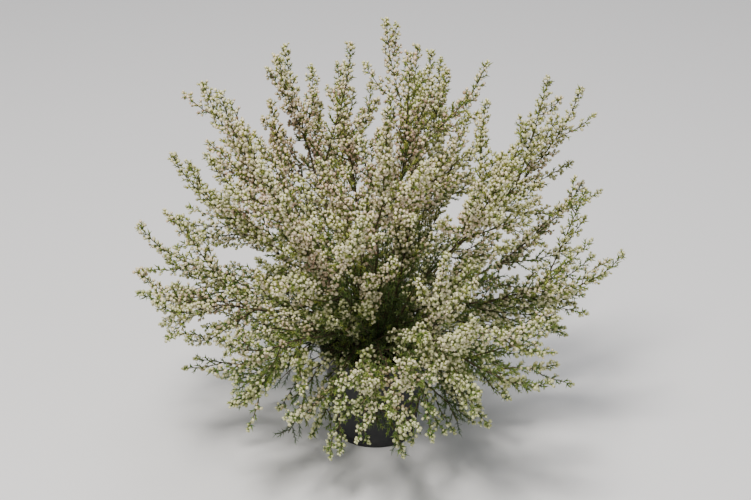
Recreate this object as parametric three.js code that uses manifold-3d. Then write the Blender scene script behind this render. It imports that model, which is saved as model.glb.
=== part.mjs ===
// A potted cape heath: a bushy evergreen shrub of many slender flowering sprays in a round plastic
// nursery pot. All sizes are in millimetres, +Z is up, and the origin is the middle of the pot's foot.
import * as THREE from "three";
import { mergeVertices } from "three/addons/utils/BufferGeometryUtils.js";
import Module from "manifold-3d";

// Driving dimensions
const potHeight = 105;
const potRimRadius = 60;
const potFootRadius = 43;
const potWall = 1.6;
const potFloor = 2.6;
const potEdge = 1;
const rimHeight = 14;
const rimOverhang = 2.4;
const footRecess = 2.5;
const footRingWidth = 5;
const footPadRadius = 13;
const drainHoleRadius = 4.5;
const drainHoleCount = 5;
const potSides = 24;

const soilLevel = 92;
const soilRoughness = 1.6;
const soilCrown = 2.5;
const clearance = 0.3;

const trunkCount = 6;
const trunkCircle = 17;
const trunkRadius = 3;
const trunkRise = 29;
const trunkDepth = 30;

// Sprays: how many, how far their tips lie from the soil's middle at the top and at the rim, and where
// along a shoot its flowers start. Angles are degrees from upright, and tipRoom is in radians.
const tallSprays = 29;
const shortSprays = 10;
const shortShare = 0.6;
const topReach = 362;
const lowReach = 165;
const lowestTipAngle = 98;
const lowestShortAngle = 45;
const spreadAngle = 56;
const leafyShootAngle = 88;
const leafyShare = 0.72;
const tipRoom = 0.18;
const flowerStart = 0.38;
const plumeWidth = 6;
const plumeSpread = 0.045;
const stemBase = 1.7;
const stemEnd = 1.1;
const needleLength = 6;
const needleWidth = 2.4;
const needleSpacing = 42;
const spikeLean = 0.6;
const seed = 107;

const brownGreen = new THREE.MeshStandardMaterial({ color: "#5f6b33", roughness: 0.75 });
const creamPink = new THREE.MeshStandardMaterial({ color: "#ddd3c4", roughness: 0.7 });
const charcoal = new THREE.MeshStandardMaterial({ color: "#2b2b2c", roughness: 0.55 });
const peat = new THREE.MeshStandardMaterial({ color: "#3a2a1e", roughness: 0.95 });

const goldenAngle = Math.PI * (3 - Math.sqrt(5));
const upward = new THREE.Vector3(0, 0, 1);
const { degToRad, lerp, clamp } = THREE.MathUtils;
const mostSpread = degToRad(spreadAngle);

const wasm = await Module();
wasm.setup();

// A repeatable random stream: the same seed always gives the same plant.
function randomStream(start) {
  let state = start >>> 0;
  return () => {
    state = (Math.imul(state, 1664525) + 1013904223) >>> 0;
    return state / 4294967296;
  };
}

// A direction at an angle from upright, towards a compass angle round the pot.
function direction(fromUpright, compass) {
  const flat = Math.sin(fromUpright);
  return new THREE.Vector3(flat * Math.cos(compass), flat * Math.sin(compass), Math.cos(fromUpright));
}

// Booleans
function solidOf(geometry) {
  const bare = geometry.clone();
  bare.deleteAttribute("normal");
  bare.deleteAttribute("uv");
  const merged = mergeVertices(bare, 1e-4);
  return new wasm.Manifold(
    new wasm.Mesh({
      numProp: 3,
      vertProperties: merged.attributes.position.array,
      triVerts: new Uint32Array(merged.index.array),
    }),
  );
}

function geometryOf(solid) {
  const mesh = solid.getMesh();
  const geometry = new THREE.BufferGeometry();
  geometry.setAttribute("position", new THREE.BufferAttribute(mesh.vertProperties, 3));
  geometry.setIndex(new THREE.BufferAttribute(mesh.triVerts, 1));
  geometry.computeVertexNormals();
  return geometry;
}

function fused(geometries) {
  return geometryOf(geometries.map(solidOf).reduce((sum, next) => sum.add(next)));
}

function named(name, geometry, material) {
  const mesh = new THREE.Mesh(geometry, material);
  mesh.name = name;
  return mesh;
}

// A closed skin lofted along a curve. rings is a list of {at, points}: at is the share of the curve's
// length, and points gives each corner's {reach, lift}, its distance from the curve and its shift along it.
// Where raised corners stand chequered, each quad is split between its two low corners, so that every
// raised corner is the point of a small pyramid of its own.
function loft(curve, rings, sides, turn = 0, twist = 0) {
  const steps = 60;
  const frames = curve.computeFrenetFrames(steps, false);
  const positions = [];
  const faces = [];
  rings.forEach(({ at, points }, ring) => {
    const centre = curve.getPointAt(at);
    const frame = Math.round(at * steps);
    points.forEach(({ reach, lift }, side) => {
      const angle = turn + ring * twist + (side / sides) * 2 * Math.PI;
      const corner = centre
        .clone()
        .addScaledVector(frames.normals[frame], reach * Math.cos(angle))
        .addScaledVector(frames.binormals[frame], reach * Math.sin(angle))
        .addScaledVector(frames.tangents[frame], lift);
      positions.push(corner.x, corner.y, corner.z);
    });
  });
  for (let ring = 0; ring + 1 < rings.length; ring++)
    for (let side = 0; side < sides; side++) {
      const next = (side + 1) % sides;
      const [a, b] = [ring * sides + side, ring * sides + next];
      const [d, c] = [a + sides, b + sides];
      const raisedHere = rings[ring].points[side].raised || rings[ring + 1].points[next].raised;
      if (raisedHere) faces.push(a, b, d, b, c, d);
      else faces.push(a, b, c, a, c, d);
    }
  const last = (rings.length - 1) * sides;
  for (let side = 1; side + 1 < sides; side++) {
    faces.push(0, side + 1, side);
    faces.push(last, last + side, last + side + 1);
  }
  const geometry = new THREE.BufferGeometry();
  geometry.setAttribute("position", new THREE.Float32BufferAttribute(positions, 3));
  geometry.setIndex(faces);
  return geometry;
}

const plainRing = (at, reach, sides) => ({
  at,
  points: Array.from({ length: sides }, () => ({ reach, lift: 0, raised: false })),
});

// Pot: a tapered cup with a rolled-over rim band. It stands on a foot ring and a middle pad, with drain
// holes through the raised floor between them.
function potRadiusAt(z) {
  return lerp(potFootRadius, potRimRadius - rimOverhang, z / potHeight);
}

function makePot() {
  const floorTop = footRecess + potFloor;
  const band = potHeight - rimHeight;
  const profile = [
    [0, 0],
    [footPadRadius, 0],
    [footPadRadius + potEdge, footRecess],
    [potFootRadius - footRingWidth, footRecess],
    [potFootRadius - footRingWidth + potEdge, 0],
    [potFootRadius, 0],
    [potRadiusAt(band), band],
    [potRimRadius - potEdge, band],
    [potRimRadius, band + potEdge],
    [potRimRadius, potHeight - potEdge],
    [potRimRadius - potEdge, potHeight],
    [potRimRadius - rimOverhang - potEdge, potHeight - potEdge],
    [potRadiusAt(band) - potWall, band],
    [potRadiusAt(floorTop) - potWall, floorTop],
    [0, floorTop],
  ].map(([x, y]) => new THREE.Vector2(x, y));
  const cup = new THREE.LatheGeometry(profile, potSides).rotateX(Math.PI / 2);
  let solid = solidOf(cup);
  const holeCircle = (potFootRadius - footRingWidth + footPadRadius) / 2;
  for (let i = 0; i < drainHoleCount; i++) {
    const compass = (i / drainHoleCount) * 2 * Math.PI;
    const drill = new THREE.CylinderGeometry(drainHoleRadius, drainHoleRadius, 2 * floorTop, 8)
      .rotateX(Math.PI / 2)
      .translate(holeCircle * Math.cos(compass), holeCircle * Math.sin(compass), floorTop / 2);
    solid = solid.subtract(solidOf(drill));
  }
  return geometryOf(solid);
}

// The trunks stand in a ring round the pot's middle
function trunkFoot(trunk) {
  const compass = ((trunk + 0.25) / trunkCount) * 2 * Math.PI;
  return new THREE.Vector3(trunkCircle * Math.cos(compass), trunkCircle * Math.sin(compass), 0);
}

// Potting soil: fills the pot. Its crumbly top rises a little towards the middle, and there is a hole in it
// for each trunk.
function makeSoil() {
  const bottom = footRecess + potFloor + clearance;
  const inner = (z) => potRadiusAt(z) - potWall - 1.5 * clearance;
  const topRings = 3;
  const wave = 0.85;
  const profile = [new THREE.Vector2(0, bottom), new THREE.Vector2(inner(bottom), bottom)];
  for (let i = 0; i <= topRings; i++) {
    const share = 1 - i / topRings;
    profile.push(new THREE.Vector2(inner(soilLevel) * share, soilLevel + soilCrown * (1 - share)));
  }
  const body = new THREE.LatheGeometry(profile, potSides).rotateX(Math.PI / 2);
  const corner = body.attributes.position;
  for (let i = 0; i < corner.count; i++) {
    const [x, y, z] = [corner.getX(i), corner.getY(i), corner.getZ(i)];
    const onTop = z > soilLevel - soilRoughness;
    const atWall = Math.hypot(x, y) > inner(soilLevel) * 0.98;
    if (onTop && !atWall) corner.setZ(i, z + soilRoughness * Math.sin(x * wave) * Math.cos(y * wave));
  }
  let solid = solidOf(body);
  for (let trunk = 0; trunk < trunkCount; trunk++) {
    const foot = trunkFoot(trunk);
    const reach = trunkRadius + 2 * clearance;
    const drill = new THREE.CylinderGeometry(reach, reach, 2 * trunkDepth, 8)
      .rotateX(Math.PI / 2)
      .translate(foot.x, foot.y, soilLevel - clearance);
    solid = solid.subtract(solidOf(drill));
  }
  return geometryOf(solid);
}

// Tips: every spray has a leading tip, a tall spray three side tips and a short one a single side tip. Tall
// sprays are spread over a dome by the golden angle, closer at the top, and short ones fill it inside.
function spreadTips(count, lowestAngle, sideCount, reachShare, firstCompass, random) {
  const closerAtTop = 0.5;
  const sideTurn = 2.2;
  const sprays = [];
  for (let i = 0; i < count; i++) {
    const share = (i + 0.5) / count;
    const fromUpright = Math.acos(1 - share * (1 - Math.cos(lowestAngle))) * lerp(closerAtTop, 1, share);
    const lead = direction(fromUpright, firstCompass + i * goldenAngle);
    const tilt = new THREE.Quaternion().setFromUnitVectors(upward, lead);
    const turn = random() * 2 * Math.PI;
    const tips = [lead];
    for (let side = 0; side < sideCount; side++) {
      const around = turn + sideTurn * side;
      const shift = new THREE.Vector3(Math.cos(around), Math.sin(around), 0).multiplyScalar(tipRoom);
      tips.push(lead.clone().add(shift.applyQuaternion(tilt)));
    }
    sprays.push({ tips, reachShare });
  }
  return sprays;
}

// The tips then push each other apart until each has its own room, which is wider near the horizon, while
// each side tip is held near the leading tip of its own spray.
function pushApart(sprays, lowestAngle) {
  const rounds = 60;
  const pushShare = 0.25;
  const pullShare = 0.6;
  const roomAtTop = 0.75 * tipRoom;
  const roomAtRim = 2.5 * tipRoom;
  const tether = 1.25 * tipRoom;
  const all = sprays.flatMap(({ tips }) => tips);
  const leads = sprays.flatMap(({ tips }) => tips.map(() => tips[0]));
  for (let round = 0; round < rounds; round++) {
    const pushes = all.map((tip, i) => {
      const push = new THREE.Vector3();
      for (const other of all) {
        const apart = tip.clone().sub(other);
        const short = lerp(roomAtRim, roomAtTop, clamp(tip.z, 0, 1)) - apart.length();
        if (other !== tip && short > 0) push.addScaledVector(apart.normalize(), short * pushShare);
      }
      const partner = leads[i].clone().sub(tip);
      return push.addScaledVector(partner, Math.max(0, partner.length() - tether) * pullShare);
    });
    all.forEach((tip, i) => {
      tip.add(pushes[i]).normalize();
      tip.z = Math.max(tip.z, Math.cos(lowestAngle));
      tip.normalize();
    });
  }
}

// Every shoot with its leading curve, the trunk that it grows from and the tips of its side plumes
function makeShoots() {
  const shortTurn = 1.15;
  const leafyTurn = 0.2;
  const domeFlatness = 2.2;
  const unevenness = 0.08;
  const random = randomStream(seed);
  const lowest = degToRad(lowestTipAngle);
  const sprays = [
    ...spreadTips(tallSprays, lowest, 3, 1, 0, random),
    ...spreadTips(shortSprays, degToRad(lowestShortAngle), 1, shortShare, shortTurn, random),
  ];
  for (let trunk = 0; trunk < trunkCount; trunk++) {
    const foot = trunkFoot(trunk);
    const tips = [direction(degToRad(leafyShootAngle), Math.atan2(foot.y, foot.x) + leafyTurn)];
    sprays.push({ tips, reachShare: leafyShare, leafy: true });
  }
  pushApart(sprays, lowest);
  return sprays.map(({ tips, reachShare, leafy }) => {
    const [lead, ...sides] = tips.map((tip) => {
      const fromUpright = Math.acos(tip.z);
      const lowness = fromUpright / lowest;
      const fullReach = lerp(topReach, lowReach, lowness ** domeFlatness);
      const reach = reachShare * fullReach * lerp(1 - unevenness, 1 + unevenness, random());
      return { fromUpright, compass: Math.atan2(tip.y, tip.x), lowness, reach };
    });
    return { ...leadCurve(lead), lead, sides, leafy };
  });
}

// Shoots: where the tip is, and the direction in which the shoot arrives there. Shoots turn up as they
// grow, so they arrive more upright than their tips lie; only the lowest ones stay level.
function shootEnd({ fromUpright, compass, reach }) {
  const uprightShare = 0.45;
  const tip = direction(fromUpright, compass).multiplyScalar(reach);
  tip.z += soilLevel;
  const level = THREE.MathUtils.smoothstep(fromUpright, mostSpread, degToRad(100));
  return { tip, arriving: direction(fromUpright * lerp(uprightShare, 1, level), compass) };
}

function leadCurve(lead) {
  const outwardShare = 0.85;
  const leavingPull = 0.36;
  const arrivingPull = 0.3;
  const turns = lead.compass / (2 * Math.PI);
  const trunk = Math.round(turns * trunkCount - 0.25 + 2 * trunkCount) % trunkCount;
  const height = lerp(trunkRise - 2, trunkRise * 0.9, lead.lowness);
  const start = trunkFoot(trunk).setZ(soilLevel + height);
  const { tip, arriving } = shootEnd(lead);
  const leaving = direction(Math.min(lead.fromUpright * outwardShare, mostSpread), lead.compass);
  const curve = new THREE.CubicBezierCurve3(
    start,
    start.clone().addScaledVector(leaving, lead.reach * leavingPull),
    tip.clone().addScaledVector(arriving, -lead.reach * arrivingPull),
    tip,
  );
  return { curve, trunk };
}

// A side plume leaves its lead at a slant, goes straight for its tip and turns up there
function sideCurve(leadingCurve, side, fork, share) {
  const leavingPull = 0.22;
  const alongPull = 0.06;
  const arrivingPull = 0.3;
  const root = leadingCurve.getPointAt(fork);
  const along = leadingCurve.getTangentAt(fork);
  const { tip, arriving } = shootEnd({ ...side, reach: side.reach * share });
  const length = root.distanceTo(tip);
  return new THREE.CubicBezierCurve3(
    root,
    root.clone().lerp(tip, leavingPull).addScaledVector(along, length * alongPull),
    tip.clone().addScaledVector(arriving, -length * arrivingPull),
    tip,
  );
}

// Leafy stem: a thin tube with pairs of true-size needles, each pair crosswise to the last. Low leafy
// shoots bear no flowers and carry needles to their tips.
function makeStem(curve, to, random) {
  const sides = 4;
  const mostPairs = 4;
  const firstPair = 0.42;
  const lastPair = 0.95;
  const length = curve.getLength();
  const pairs = Math.round(clamp((length * to) / needleSpacing, 1, mostPairs));
  const stemRadius = (at) => lerp(stemBase, stemEnd, at / to);
  const rings = [plainRing(0, stemRadius(0), sides)];
  for (let pair = 0; pair < pairs; pair++) {
    const at = to * lerp(firstPair, lastPair, (pair + 0.5) / pairs);
    const halfRoot = needleWidth / 2 / length;
    const points = Array.from({ length: sides }, (_, side) => {
      const raised = (side + pair) % 2 === 0;
      const reach = raised ? needleLength : stemRadius(at);
      return { reach, lift: raised ? reach * spikeLean : 0, raised };
    });
    rings.push(plainRing(at - halfRoot, stemRadius(at), sides));
    rings.push({ at, points });
    rings.push(plainRing(at + halfRoot, stemRadius(at), sides));
  }
  rings.push(plainRing(to, stemRadius(to), sides));
  return loft(curve, rings, sides, random() * 6);
}

function makeTrunk(trunk, shoots) {
  const random = randomStream(seed + trunk);
  const foot = trunkFoot(trunk);
  const line = new THREE.LineCurve3(
    foot.clone().setZ(soilLevel - trunkDepth),
    foot.clone().setZ(soilLevel + trunkRise),
  );
  const sides = 8;
  const shoulder = 0.6;
  const topShare = 0.73;
  const rings = [
    plainRing(0, trunkRadius, sides),
    plainRing(shoulder, trunkRadius, sides),
    plainRing(1, trunkRadius * topShare, sides),
  ];
  const stems = shoots
    .filter((shoot) => shoot.trunk === trunk)
    .map(({ curve, leafy }) => {
      const end = leafy ? 1 : flowerStart - clearance / curve.getLength();
      return makeStem(curve, end, random);
    });
  return fused([loft(line, rings, sides), ...stems]);
}

// Flowering plume: a tapering spray whose skin stands out as spikes that lean towards the tip, every other
// corner of each ring, and each spike is a side shoot full of small bells. The first stalkRings rings stay
// plain, and the rings turn a little from one to the next.
function plumeOutline(share) {
  return Math.min(1, 0.5 + share * 2.6) * Math.max(1 - share, 0) ** 0.75;
}

function makePlume(curve, from, widest, ringCount, stalkRings, random) {
  const sides = 6;
  const slimmestSpike = 3.6;
  const coreShare = 0.26;
  const shortestSpike = 0.8;
  const longestSpike = 1.12;
  const twist = degToRad(12);
  const rings = [];
  for (let ring = 0; ring < ringCount; ring++) {
    const share = ring / (ringCount - 1);
    const spike = Math.max(slimmestSpike, widest * plumeOutline(share));
    const core = Math.max(stemEnd, spike * coreShare);
    const plain = ring < stalkRings || ring === ringCount - 1;
    const points = Array.from({ length: sides }, (_, side) => {
      const raised = !plain && (ring + side) % 2 === 0;
      const reach = spike * lerp(shortestSpike, longestSpike, random());
      return { reach: raised ? reach : core, lift: raised ? reach * spikeLean : 0, raised };
    });
    rings.push({ at: lerp(from, 1, share), points });
  }
  return loft(curve, rings, sides, random() * 6, twist);
}

// Spray: a leading plume, which is wider the longer its shoot is, and side plumes that fork from its middle
function makeSpray({ curve, lead, sides }, index) {
  const random = randomStream(seed + 97 * (index + 1));
  const widest = plumeWidth + plumeSpread * lead.reach;
  const leadRings = 8;
  const sideWidth = 0.88;
  const plumes = [makePlume(curve, flowerStart, widest, leadRings, 1, random)];
  const forks = [
    { fork: 0.5, share: 0.92, ringCount: 6 },
    { fork: 0.45, share: 0.8, ringCount: 5 },
    { fork: 0.6, share: 0.98, ringCount: 5 },
  ];
  sides.forEach((side, i) => {
    const { fork, share, ringCount } = forks[i];
    const branch = sideCurve(curve, side, fork, share);
    plumes.push(makePlume(branch, 0, widest * sideWidth, ringCount, 2, random));
  });
  return fused(plumes);
}

const plant = new THREE.Group();
plant.add(named("nursery_pot", makePot(), charcoal));
plant.add(named("potting_soil", makeSoil(), peat));
const shoots = makeShoots();
for (let trunk = 0; trunk < trunkCount; trunk++)
  plant.add(named(`leafy_stems_${trunk + 1}`, makeTrunk(trunk, shoots), brownGreen));
const flowering = shoots.filter(({ leafy }) => !leafy);
flowering.forEach((shoot, index) => {
  const number = String(index + 1).padStart(2, "0");
  plant.add(named(`flower_spray_${number}`, makeSpray(shoot, index), creamPink));
});

export default plant;
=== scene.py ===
import math
import random

import bmesh
import bpy
from mathutils import Matrix, Vector, noise


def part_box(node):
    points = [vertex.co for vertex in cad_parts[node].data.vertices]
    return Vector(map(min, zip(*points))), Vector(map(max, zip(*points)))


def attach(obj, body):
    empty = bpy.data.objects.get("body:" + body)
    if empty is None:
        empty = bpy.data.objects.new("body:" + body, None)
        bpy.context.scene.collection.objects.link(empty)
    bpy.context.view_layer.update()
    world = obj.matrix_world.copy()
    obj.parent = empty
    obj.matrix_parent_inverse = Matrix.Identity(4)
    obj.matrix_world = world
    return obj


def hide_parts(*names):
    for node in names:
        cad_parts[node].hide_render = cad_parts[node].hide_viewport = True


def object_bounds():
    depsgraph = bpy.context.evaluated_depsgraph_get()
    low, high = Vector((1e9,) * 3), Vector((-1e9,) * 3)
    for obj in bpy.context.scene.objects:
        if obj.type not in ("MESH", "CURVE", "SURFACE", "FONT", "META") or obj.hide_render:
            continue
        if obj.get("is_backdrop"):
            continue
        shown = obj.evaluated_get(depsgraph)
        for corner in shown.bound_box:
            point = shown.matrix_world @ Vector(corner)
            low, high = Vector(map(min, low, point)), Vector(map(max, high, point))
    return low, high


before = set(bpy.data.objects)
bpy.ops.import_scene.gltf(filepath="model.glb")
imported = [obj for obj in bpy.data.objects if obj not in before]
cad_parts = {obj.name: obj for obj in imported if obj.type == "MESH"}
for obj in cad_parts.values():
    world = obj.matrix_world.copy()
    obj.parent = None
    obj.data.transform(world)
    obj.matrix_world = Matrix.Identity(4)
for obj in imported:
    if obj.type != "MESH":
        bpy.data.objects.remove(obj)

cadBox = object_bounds()
mm = 0.001
potHigh = Vector(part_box("nursery_pot")[1])
soilLow, soilHigh = (Vector(corner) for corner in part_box("potting_soil"))
rimRadius, soilTop = potHigh.x, soilHigh.z
goldenAngle = math.pi * (3 - math.sqrt(5))
print("frame loaded:", len(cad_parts), "nodes")


# Small helpers
def lerp(a, b, t):
    return a + (b - a) * t


def clamp(x, low, high):
    return max(low, min(high, x))


def vary(rng, amount):
    return rng.uniform(-amount, amount)


def middleOf(points):
    return sum(points, Vector()) / len(points)


def toLinear(hexColour):
    channels = [int(hexColour[i : i + 2], 16) / 255 for i in (1, 3, 5)]
    linear = [c / 12.92 if c <= 0.04045 else ((c + 0.055) / 1.055) ** 2.4 for c in channels]
    return (*linear, 1.0)


def addNode(tree, kind, settings=None, **links):
    # links are written as input name = (node, output name), with _ for a space
    node = tree.nodes.new("ShaderNode" + kind)
    for key, value in (settings or {}).items():
        if isinstance(key, str) and hasattr(node, key):
            setattr(node, key, value)
        else:
            node.inputs[key].default_value = value
    for key, (source, output) in links.items():
        tree.links.new(source.outputs[output], node.inputs[key.replace("_", " ")])
    return node


def addRamp(tree, stops, **links):
    ramp = addNode(tree, "ValToRGB", None, **links)
    elements = ramp.color_ramp.elements
    while len(elements) < len(stops):
        elements.new(0.5)
    for element, (stop, colour) in zip(elements, stops):
        element.position = stop
        element.color = toLinear(colour)
    return ramp


def newMaterial(name):
    material = bpy.data.materials.new(name)
    material.use_nodes = True
    tree = material.node_tree
    return material, tree, tree.nodes["Principled BSDF"]


def mixColours(tree, factor, first, second, blend="MIX"):
    mix = addNode(tree, "Mix", {"data_type": "RGBA", "blend_type": blend})
    tree.links.new(factor, mix.inputs[0])
    for socket, source in ((6, first), (7, second)):
        if isinstance(source, str):
            mix.inputs[socket].default_value = toLinear(source)
        else:
            tree.links.new(source, mix.inputs[socket])
    return mix.outputs[2]


# Heath bell: thin papery corolla, matt and a little translucent, ivory with a greenish or brown-pink neck.
# The eye sees cream beads with a blush that comes and goes over the bush.
def makePetal():
    look = {
        "patch": 55 * mm, "patchShare": 0.6, "toneShift": -0.28, "shadedLowBlush": 0.1, "lowShade": 0.6,
        "budding": 0.55, "fading": 0.6, "roughness": 0.62,
    }
    heights = {"From Min": 90 * mm, "From Max": 280 * mm}  # painted shade and light by height: from shaded low bells to sunlit high ones
    material, tree, shader = newMaterial("paperyHeathBell")
    along = addNode(tree, "Attribute", {"attribute_name": "along"})
    tone = addNode(tree, "Attribute", {"attribute_name": "tone"})
    coords = addNode(tree, "TexCoord")
    patch = addNode(tree, "TexNoise", {"Scale": 1 / look["patch"], "Detail": 2.0}, Vector=(coords, "Object"))
    # the last stop of each ramp, at along 1, is painted shade inside an open bell's mouth
    ivory = addRamp(
        tree,
        [(0.0, "#69783a"), (0.25, "#a3a870"), (0.55, "#d7d4a8"), (0.9, "#e7e2c0"), (1.0, "#858054")],
        Fac=(along, "Fac"),
    )
    blushed = addRamp(
        tree,
        [(0.0, "#75603a"), (0.25, "#a98a6c"), (0.6, "#d4b7a0"), (0.9, "#e6cfbb"), (1.0, "#7d5c44")],
        Fac=(along, "Fac"),
    )
    blush = addNode(tree, "MapRange", {"From Min": 0.42, "From Max": 0.62}, Value=(patch, "Fac"))
    warm = addNode(tree, "Math", {"operation": "MULTIPLY_ADD", 1: 1.0, 2: look["toneShift"]})
    tree.links.new(tone.outputs["Fac"], warm.inputs[0])
    amount = addNode(tree, "Math", {"operation": "ADD", "use_clamp": True})
    tree.links.new(warm.outputs[0], amount.inputs[0])
    patches = addNode(tree, "Math", {"operation": "MULTIPLY", 1: look["patchShare"]})
    tree.links.new(blush.outputs[0], patches.inputs[0])
    tree.links.new(patches.outputs[0], amount.inputs[1])
    height = addNode(tree, "SeparateXYZ", None, Vector=(coords, "Object"))
    # the blush is the bells' own tint, painted weaker low down where the bush is shaded and full up high in
    # the light
    blushInLight = {**heights, "To Min": look["shadedLowBlush"], "To Max": 1.0}
    rise = addNode(tree, "MapRange", blushInLight, Value=(height, "Z"))
    share = addNode(tree, "Math", {"operation": "MULTIPLY"})
    tree.links.new(amount.outputs[0], share.inputs[0])
    tree.links.new(rise.outputs[0], share.inputs[1])
    # painted shade: the lower a bell hangs, the more it is mixed towards a dim green
    shading = {**heights, "To Min": look["lowShade"], "To Max": 0.0}
    dim = addNode(tree, "MapRange", shading, Value=(height, "Z"))
    shaded = mixColours(tree, dim.outputs[0], ivory.outputs[0], "#adb781")
    colour = mixColours(tree, share.outputs[0], shaded, blushed.outputs[0])
    young = {"From Min": 0.3, "From Max": 0.05, "To Max": look["budding"]}
    green = addNode(tree, "MapRange", young, Value=(tone, "Fac"))
    budding = mixColours(tree, green.outputs[0], colour, "#9aa058")
    past = {"From Min": 0.8, "From Max": 0.95, "To Max": look["fading"]}
    brown = addNode(tree, "MapRange", past, Value=(tone, "Fac"))
    colour = mixColours(tree, brown.outputs[0], budding, "#94765a")
    tree.links.new(colour, shader.inputs["Base Color"])
    shader.inputs["Roughness"].default_value = look["roughness"]
    return material


# Heath needle: stiff narrow leaf with a thin waxy skin, dark green on old wood and yellow-green on the new
# shoots, paler at its tip.
def makeNeedleLeaf():
    look = {"patch": 40 * mm, "patchShift": 0.35, "paleTip": 0.35, "roughness": 0.5}
    shade = {"From Min": 90 * mm, "From Max": 270 * mm, "To Min": -0.38, "To Max": -0.15}  # painted shade, partly the age of the low leaves: darker low down
    material, tree, shader = newMaterial("waxyHeathNeedle")
    along = addNode(tree, "Attribute", {"attribute_name": "along"})
    tone = addNode(tree, "Attribute", {"attribute_name": "tone"})
    coords = addNode(tree, "TexCoord")
    patch = addNode(tree, "TexNoise", {"Scale": 1 / look["patch"], "Detail": 2.0}, Vector=(coords, "Object"))
    shift = addNode(tree, "Math", {"operation": "MULTIPLY_ADD", 1: look["patchShift"]})
    tree.links.new(patch.outputs["Fac"], shift.inputs[0])
    height = addNode(tree, "SeparateXYZ", None, Vector=(coords, "Object"))
    rise = addNode(tree, "MapRange", shade, Value=(height, "Z"))
    tree.links.new(rise.outputs[0], shift.inputs[2])
    # the leaf's tone, its patches and the painted shade low down add up here
    age = addNode(tree, "Math", {"operation": "ADD", "use_clamp": True})
    tree.links.new(tone.outputs["Fac"], age.inputs[0])
    tree.links.new(shift.outputs[0], age.inputs[1])
    green = addRamp(
        tree,
        [(0.0, "#13330c"), (0.35, "#295a1a"), (0.65, "#627c29"), (1.0, "#a4a443")],
        Fac=(age, "Value"),
    )
    paler = addNode(tree, "MapRange", {"To Max": look["paleTip"]}, Value=(along, "Fac"))
    colour = mixColours(tree, paler.outputs[0], green.outputs[0], "#a0a654")
    tree.links.new(colour, shader.inputs["Base Color"])
    shader.inputs["Roughness"].default_value = look["roughness"]
    return material


# Heath wood: thin flaking bark, grey-brown with red-brown and green young parts, quite matt
def makeTwigBark():
    look = {"flake": 2.5 * mm, "bump": 0.3 * mm, "roughness": 0.85}
    material, tree, shader = newMaterial("flakingHeathBark")
    coords = addNode(tree, "TexCoord")
    flakes = addNode(tree, "TexNoise", {"Scale": 1 / look["flake"], "Detail": 3.0}, Vector=(coords, "Object"))
    colour = addRamp(
        tree, [(0.3, "#2c2518"), (0.5, "#463a26"), (0.62, "#5b4d32"), (0.8, "#4d5e2b")], Fac=(flakes, "Fac")
    )
    bump = addNode(tree, "Bump", {"Strength": 0.5, "Distance": look["bump"]}, Height=(flakes, "Fac"))
    tree.links.new(colour.outputs[0], shader.inputs["Base Color"])
    tree.links.new(bump.outputs[0], shader.inputs["Normal"])
    shader.inputs["Roughness"].default_value = look["roughness"]
    return material


# Nursery pot: thin injection-moulded polypropylene, charcoal, with a faint grain from the mould, dull
# scuffs and dusty patches
def makePotPlastic():
    look = {"grain": 0.7 * mm, "scuff": 14 * mm, "bump": 0.1 * mm, "glossy": 0.4, "dusty": 0.68, "ior": 1.49}
    material, tree, shader = newMaterial("mouldedPolypropylene")
    coords = addNode(tree, "TexCoord")
    scuffing = {"Scale": 1 / look["scuff"], "Detail": 6.0, "Roughness": 0.65}
    scuffs = addNode(tree, "TexNoise", scuffing, Vector=(coords, "Object"))
    grain = addNode(tree, "TexNoise", {"Scale": 1 / look["grain"], "Detail": 1.0}, Vector=(coords, "Object"))
    colour = addRamp(
        tree, [(0.35, "#1d1e20"), (0.55, "#27282a"), (0.72, "#373634"), (0.85, "#4b4740")],
        Fac=(scuffs, "Fac"),
    )
    wear = {"From Min": 0.3, "From Max": 0.75, "To Min": look["glossy"], "To Max": look["dusty"]}
    dull = addNode(tree, "MapRange", wear, Value=(scuffs, "Fac"))
    bump = addNode(tree, "Bump", {"Strength": 0.25, "Distance": look["bump"]}, Height=(grain, "Fac"))
    tree.links.new(colour.outputs[0], shader.inputs["Base Color"])
    tree.links.new(dull.outputs[0], shader.inputs["Roughness"])
    tree.links.new(bump.outputs[0], shader.inputs["Normal"])
    shader.inputs["IOR"].default_value = look["ior"]
    return material


# Peat mix: damp brown fibres and crumbs with a few paler bits of wood
def makePeat():
    look = {"crumb": 3.5 * mm, "fibre": 0.8 * mm, "bump": 1.0 * mm, "roughness": 0.95}
    material, tree, shader = newMaterial("dampPeatMix")
    coords = addNode(tree, "TexCoord")
    crumbs = addNode(tree, "TexVoronoi", {"Scale": 1 / look["crumb"]}, Vector=(coords, "Object"))
    fibres = addNode(tree, "TexNoise", {"Scale": 1 / look["fibre"], "Detail": 4.0}, Vector=(coords, "Object"))
    colour = addRamp(
        tree, [(0.25, "#1b120c"), (0.5, "#332318"), (0.68, "#4d3826"), (0.85, "#77593a")], Fac=(fibres, "Fac")
    )
    # painted shade: darker away from each crumb's middle, in the gaps between crumbs
    shade = mixColours(tree, crumbs.outputs["Distance"], colour.outputs[0], "#120c08")
    bump = addNode(tree, "Bump", {"Strength": 0.8, "Distance": look["bump"]}, Height=(fibres, "Fac"))
    tree.links.new(shade, shader.inputs["Base Color"])
    tree.links.new(bump.outputs[0], shader.inputs["Normal"])
    shader.inputs["Roughness"].default_value = look["roughness"]
    return material


petal, needleLeaf, twigBark = makePetal(), makeNeedleLeaf(), makeTwigBark()
potPlastic, peat = makePotPlastic(), makePeat()
leafIndex, barkIndex = 0, 1
print("materials made")


# Reading the frame. A copy of a node's mesh is merged, so that its corners can be followed along their edges.
def mergedCopy(nodeName):
    bm = bmesh.new()
    bm.from_mesh(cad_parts[nodeName].data)
    bmesh.ops.remove_doubles(bm, verts=bm.verts, dist=0.01 * mm)
    return bm


def neighboursOf(corner):
    return [edge.other_vert(corner) for edge in corner.link_edges]


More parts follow.
